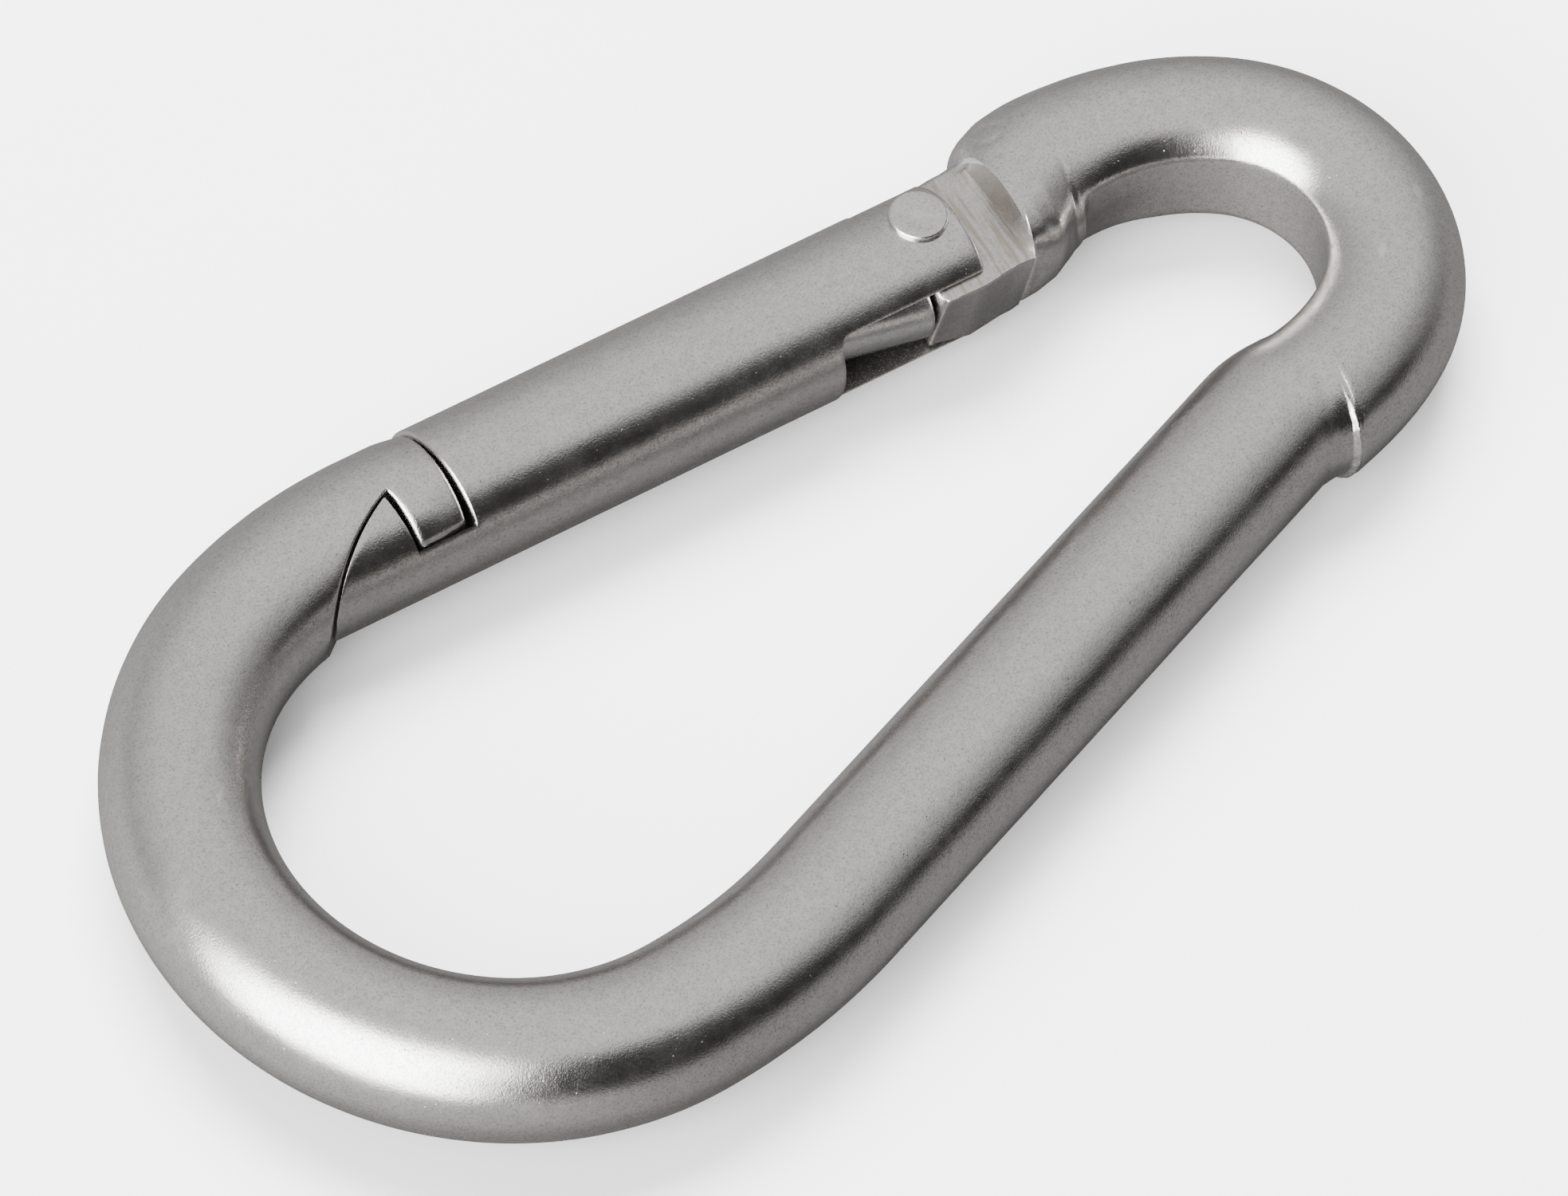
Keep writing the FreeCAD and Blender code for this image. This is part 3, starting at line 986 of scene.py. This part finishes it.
def make_spring(steps=300, wire_points=14):
    """Round wire wound between the bore's end and the plunger."""
    skin = Skin()
    around = np.exp(2j * math.pi * np.arange(wire_points) / wire_points)
    last = None
    for k in range(steps + 1):
        turn = cmath.rect(1, 2 * math.pi * spring_turns * (k / steps))
        s = spring_start_s + spring_length * (k / steps)
        ring = turn * (coil_r + wire_r * around.real)
        last = skin.follow(last, add_gate_row(skin, ring, s + wire_r * around.imag), ())
    skin.cap(last, ())
    return skin.mesh("gate_spring")


body, shoulder_rim, shoulder_wall = make_body()
gate = make_gate()
rivet = make_rivet()
plunger = make_plunger()
spring = make_spring()


# ---------------- materials
# Outputs of shader nodes, by place
IS_CAMERA_RAY = GENERATED_PLACE = 0
DOT_VALUE = 1
Z_PART = MIXED_COLOUR = 2
OBJECT_PLACE = 3
INCOMING = 4
POINTINESS = 7


class Nodes:
    """Short way to add and join shader nodes."""

    def __init__(self, tree):
        self.tree = tree

    def feed(self, socket, value):
        """Link a socket to another, or set its value."""
        if isinstance(value, bpy.types.NodeSocket):
            self.tree.links.new(value, socket)
        else:
            socket.default_value = value

    def add(self, kind, output=0, **inputs):
        """Add a node and return one of its outputs. Names that start with set_ are node
        settings, i0, i1 and so on are inputs by place, and others are inputs by name."""
        node = self.tree.nodes.new(kind)
        for name, value in inputs.items():
            if name.startswith("set_"):
                setattr(node, name[4:], value)
        for name, value in inputs.items():
            if not name.startswith("set_"):
                by_place = name[0] == "i" and name[1:].isdigit()
                self.feed(node.inputs[int(name[1:]) if by_place else name], value)
        return node.outputs[output]

    def math(self, operation, a, b=0.0, clamp=False):
        return self.add("ShaderNodeMath", i0=a, i1=b, set_operation=operation,
                        set_use_clamp=clamp)

    def facing(self, a, b):
        return self.add("ShaderNodeVectorMath", DOT_VALUE, i0=a, i1=b,
                        set_operation="DOT_PRODUCT")

    def noise(self, where, scale, detail=2.0, roughness=0.5):
        return self.add("ShaderNodeTexNoise", Vector=where, Scale=scale, Detail=detail,
                        Roughness=roughness)

    def span(self, value, low, high, to_low=0.0, to_high=1.0):
        """Smooth step from to_low to to_high as value goes from low to high."""
        return self.add("ShaderNodeMapRange", i0=value, i1=low, i2=high, i3=to_low, i4=to_high,
                        set_interpolation_type="SMOOTHSTEP")

    def mix(self, share, a, b):
        return self.add("ShaderNodeMix", MIXED_COLOUR, i0=share, i6=a, i7=b,
                        set_data_type="RGBA")


PER_MM = (1000, 1000, 1000)
DARK_SPECK = (0.20, 0.19, 0.185, 1)
PALE_GRAIN = (0.85, 0.84, 0.83, 1)
PIT_FLOOR = (0.10, 0.095, 0.09, 1)
WORN_EDGE = (0.86, 0.85, 0.83, 1)
LAY_TINT = (0.42, 0.36, 0.30, 1)
LAY_SCALE = (250, 3600, 250)    # tool marks are long one way and fine the other
GRAIN_HEIGHT = 0.00004          # metres


def steel(name, tone, rough, grain=1.0, lay=None, lay_strength=0.0):
    """Tumbled stainless steel: mottled, finely pitted and grained, brighter on worn edges.
    lay is the direction of tool marks, if the surface has them."""
    material = bpy.data.materials.new(name)
    material.use_nodes = True
    tree = material.node_tree
    shader = tree.nodes["Principled BSDF"]
    n = Nodes(tree)
    where = n.add("ShaderNodeTexCoord", OBJECT_PLACE)
    mm = n.add("ShaderNodeMapping", Vector=where, Scale=PER_MM)
    cloud = n.noise(mm, 0.35, 3, 0.6)
    blotch = n.noise(mm, 1.6, 3, 0.6)
    speck = n.noise(mm, 6.5, 3, 0.7)
    fine = n.noise(mm, 11.0, 2, 0.6)
    pit_cell = n.add("ShaderNodeTexVoronoi", Vector=mm, Scale=2.3, Randomness=1.0)
    pit_size = n.noise(mm, 1.1, 1, 0.5)
    pit_edge = n.math("MULTIPLY", n.span(pit_size, 0.42, 0.75), 0.16)
    pit = n.math("SUBTRACT", 1.0, n.math("DIVIDE", pit_cell, n.math("ADD", pit_edge, 0.03)), True)
    worn = n.span(n.add("ShaderNodeNewGeometry", POINTINESS), 0.53, 0.62)

    def tint(base, pattern, strength, colour):
        return n.mix(n.math("MULTIPLY", pattern, strength), base, colour)

    darker, paler = ([c * share for c in tone] + [1] for share in (0.93, 1.05))
    base = n.mix(n.span(blotch, 0.3, 0.7), darker, paler)
    base = tint(base, n.span(speck, 0.45, 0.7), 0.55 * grain, DARK_SPECK)
    base = tint(base, n.span(fine, 0.5, 0.72), 0.4 * grain, PALE_GRAIN)
    base = tint(base, pit, 0.7, PIT_FLOOR)
    height = n.math("ADD", n.math("MULTIPLY", speck, 0.5), n.math("MULTIPLY", fine, 0.3))
    height = n.math("SUBTRACT", height, n.math("MULTIPLY", pit, 0.9))
    roughness = n.math("ADD", n.span(cloud, 0.3, 0.7, rough - 0.03, rough + 0.04),
                       n.span(speck, 0.3, 0.7, -0.04, 0.05))
    if lay:
        turned = n.add("ShaderNodeMapping", Vector=where, Rotation=(0, 0, lay), Scale=(1, 1, 1))
        mark = n.noise(n.add("ShaderNodeMapping", Vector=turned, Scale=LAY_SCALE), 1.0, 3, 0.7)
        base = tint(base, n.span(mark, 0.46, 0.62), lay_strength, LAY_TINT)
        height = n.math("ADD", height, n.math("MULTIPLY", mark, 2.0 * lay_strength))
    base = tint(base, worn, 0.5, WORN_EDGE)
    bump = n.add("ShaderNodeBump", Height=height, Strength=0.6 * grain, Distance=GRAIN_HEIGHT)
    roughness = n.math("ADD", roughness, n.math("MULTIPLY", worn, -0.05), True)
    n.feed(shader.inputs["Base Color"], base)
    n.feed(shader.inputs["Roughness"], roughness)
    n.feed(shader.inputs["Normal"], bump)
    n.feed(shader.inputs["Metallic"], 1.0)
    return material


def mill(piece, flat, wall, rim):
    """Give the tongue's milled faces their own finish, the shoulder's wall a darker milled tone
    as painted shade, and its rim a pale tone as a painted highlight.
    """
    for material in (flat, wall, rim):
        piece.data.materials.append(material)
    for face in piece.data.polygons:
        middle = face.center / MM
        s = along_gate(complex(middle.x, middle.y))
        points = set(face.vertices)
        above = abs(middle.z) - tongue_half
        if points <= shoulder_rim and above > 0:
            # the rim's pale material is a painted highlight
            face.material_index = 3
        elif points <= shoulder_wall and above > 0:
            # the wall's dark material is painted shade
            face.material_index = 2
        elif (middle.y > 0 and heel_s < s < shoulder_s and abs(above) < 0.1
              and abs(face.normal.z) > 0.8):
            face.material_index = 1


def paint_slot_shade(piece, material):
    """Paint shade inside the gate's slot and bore with a near-black material."""
    piece.data.materials.append(material)
    for face in piece.data.polygons:
        middle = face.center / MM
        place = complex(middle.x, middle.y)
        wall = abs(abs(middle.z) - slot_half) < 0.02 and abs(face.normal.z) > 0.9
        in_bore = math.hypot(dot(place - gate_foot, out), middle.z) < bore_r + 0.05
        ahead_of_web = place.real < on_gate(web_end_s).real and along_gate(place) > bore_end_s
        if wall or (in_bore and ahead_of_web and abs(middle.z) < slot_half):
            face.material_index = 1


cutter_lay = math.radians(-77)
tumbled = steel("tumbled_stainless", (0.63, 0.61, 0.595), 0.20)
gate_steel = steel("tumbled_stainless_gate", (0.62, 0.60, 0.585), 0.20)
# Inside of the slot and bore: near-black tone, painted shade
slot_shade = steel("slot_painted_shade", (0.11, 0.105, 0.10), 0.45, 0.8)
rivet_steel = steel("peened_stainless", (0.66, 0.65, 0.635), 0.20, 0.7)
plunger_steel = steel("turned_stainless", (0.60, 0.59, 0.58), 0.22, 0.6)
spring_steel = steel("drawn_spring_wire", (0.50, 0.49, 0.48), 0.30, 0.6)
milled = steel("milled_stainless", (0.62, 0.595, 0.57), 0.34, 0.7, cutter_lay, 0.8)
# The shoulder's wall: dark tone, painted shade
shoulder_shade_steel = steel("milled_stainless_shoulder_painted_shade", (0.36, 0.345, 0.33), 0.36, 0.8,
                       cutter_lay, 0.6)
# The shoulder's rim: pale tone, a painted highlight
rim_highlight = steel("painted_highlight_rim", (0.88, 0.87, 0.85), 0.28, 0.5)

finishes = ((body, "body", "hook_body", "body_steel", tumbled),
            (gate, "gate", "gate_arm", "gate_steel", gate_steel),
            (rivet, "rivet", "gate_arm", "rivet_steel", rivet_steel),
            (plunger, "plunger", "plunger", "plunger_steel", plunger_steel),
            (spring, "spring", "gate_arm", "spring_steel", spring_steel))
for piece, node, rides_on, slot, material in finishes:
    piece.data.materials.append(material)
    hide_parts(node)
    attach(piece, rides_on)

mill(body, milled, shoulder_shade_steel, rim_highlight)
paint_slot_shade(gate, slot_shade)
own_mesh(spring)


# ---------------- floor, light, camera
BELOW_HOOK = 0.0002             # the floor is this far under the rivet's head, metres
FLOOR_PALE = (0.86, 0.86, 0.865, 1), (0.90, 0.90, 0.905, 1)
FLOOR_MIRRORED = (0.055, 0.054, 0.054, 1)
WARM_WHITE = (1, 0.99, 0.98, 1)
SOFT_BOX_STRENGTH = 15.0
DARKEST = 0.95                  # how much of the light the dark part of the room takes away
CAMERA_BACK = (-0.4405, -0.3715, 0.8172)
CAMERA_UP = (0.5267, 0.6300, 0.5704)
CAMERA_AIM = (-0.0023, 0, -0.0015)
CAMERA_DISTANCE = 0.80
CAMERA_LENS = 302
SENSOR_WIDTH = 36


def compass(azimuth, elevation):
    a, e = math.radians(azimuth), math.radians(elevation)
    return (math.cos(a) * math.cos(e), math.sin(a) * math.cos(e), math.sin(e))


def make_floor():
    """A pale floor for the camera; in the steel's reflections it is darker and glows by the
    direction it is seen from, a painted reflection of a room.
    """
    work = bmesh.new()
    bmesh.ops.create_grid(work, x_segments=24, y_segments=24, size=1.6)
    data = bpy.data.meshes.new("studio_floor")
    work.to_mesh(data)
    work.free()
    piece = place_in_scene("studio_floor", data)
    piece.location = (0, 0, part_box("rivet")[0].z - BELOW_HOOK)
    material = bpy.data.materials.new("studio_floor")
    material.use_nodes = True
    n = Nodes(material.node_tree)
    shader = material.node_tree.nodes["Principled BSDF"]
    seen = n.add("ShaderNodeLightPath", IS_CAMERA_RAY)
    spot = n.add("ShaderNodeTexCoord", OBJECT_PLACE)
    pale = n.mix(n.noise(spot, 40, 3, 0.5), *FLOOR_PALE)
    # Painted reflection: pale to the camera, dark in the steel's reflections
    n.feed(shader.inputs["Base Color"], n.mix(seen, FLOOR_MIRRORED, pale))
    # Painted reflection: the floor glows in the steel's reflections, more or less by the
    # direction it is seen from
    facing = n.facing(n.add("ShaderNodeNewGeometry", INCOMING), compass(-15, 0))
    glow = n.span(facing, -0.6, 1.0, 0.02, 0.5)
    unseen_glow = n.math("MULTIPLY", n.math("SUBTRACT", 1.0, seen), glow)
    n.feed(shader.inputs["Emission Strength"], unseen_glow)
    n.feed(shader.inputs["Emission Color"], WARM_WHITE)
    n.feed(shader.inputs["Roughness"], 0.8)
    n.feed(shader.inputs["Specular IOR Level"], 0.1)
    data.materials.append(material)


def lamp(name, toward, distance, size, power):
    """A soft overhead light that the steel doesn't mirror."""
    data = bpy.data.lights.new(name, "AREA")
    data.shape = "RECTANGLE"
    data.size, data.size_y = size
    data.energy = power
    piece = place_in_scene(name, data)
    toward = Vector(toward).normalized()
    piece.location = toward * distance
    piece.rotation_euler = toward.to_track_quat("Z", "Y").to_euler()
    piece.visible_glossy = False


def make_world():
    """A studio: pale ceiling and far wall, a large soft box to the left, a dark room behind
    the viewer."""
    world = bpy.data.worlds.new("studio")
    world.use_nodes = True
    bpy.context.scene.world = world
    n = Nodes(world.node_tree)
    way = n.add("ShaderNodeTexCoord", GENERATED_PLACE)
    height = n.add("ShaderNodeSeparateXYZ", Z_PART, i0=way)

    def lobe(azimuth, elevation, radius, blur):
        """1 near a direction and 0 away from it; angles in degrees."""
        near, far = (math.cos(math.radians(radius + k * blur)) for k in (-1, 1))
        return n.span(n.facing(way, compass(azimuth, elevation)), far, near)
    room = n.span(height, 0.1, 0.95, 0.60, 1.08)
    soft_box = lobe(-165, 22, 34, 8)
    dark = n.math("MAXIMUM", lobe(-97, 13, 41, 6), lobe(-58, -4, 30, 8))
    dark = n.math("MAXIMUM", dark, n.math("MULTIPLY", lobe(-45, -5, 42, 22), 0.6))
    lit = n.math("ADD", room, n.math("MULTIPLY", soft_box, SOFT_BOX_STRENGTH))
    kept = n.math("SUBTRACT", 1.0, n.math("MULTIPLY", dark, DARKEST))
    background = world.node_tree.nodes["Background"]
    n.feed(background.inputs["Strength"], n.math("MULTIPLY", lit, kept))
    n.feed(background.inputs["Color"], (1, 0.99, 0.985, 1))


def make_camera():
    data = bpy.data.cameras.new("view")
    camera = place_in_scene("view", data)
    back = Vector(CAMERA_BACK).normalized()
    right = Vector(CAMERA_UP).cross(back).normalized()
    turn = Matrix((right, back.cross(right), back)).transposed()
    place = Vector(CAMERA_AIM) + back * CAMERA_DISTANCE
    camera.matrix_world = Matrix.Translation(place) @ turn.to_4x4()
    data.lens = CAMERA_LENS
    data.sensor_width = SENSOR_WIDTH
    data.clip_start = 0.05
    bpy.context.scene.camera = camera


make_floor()
lamp("overhead", (0.25, 0.45, 0.9), 1.1, (0.8, 0.6), 60.0)
make_world()
make_camera()
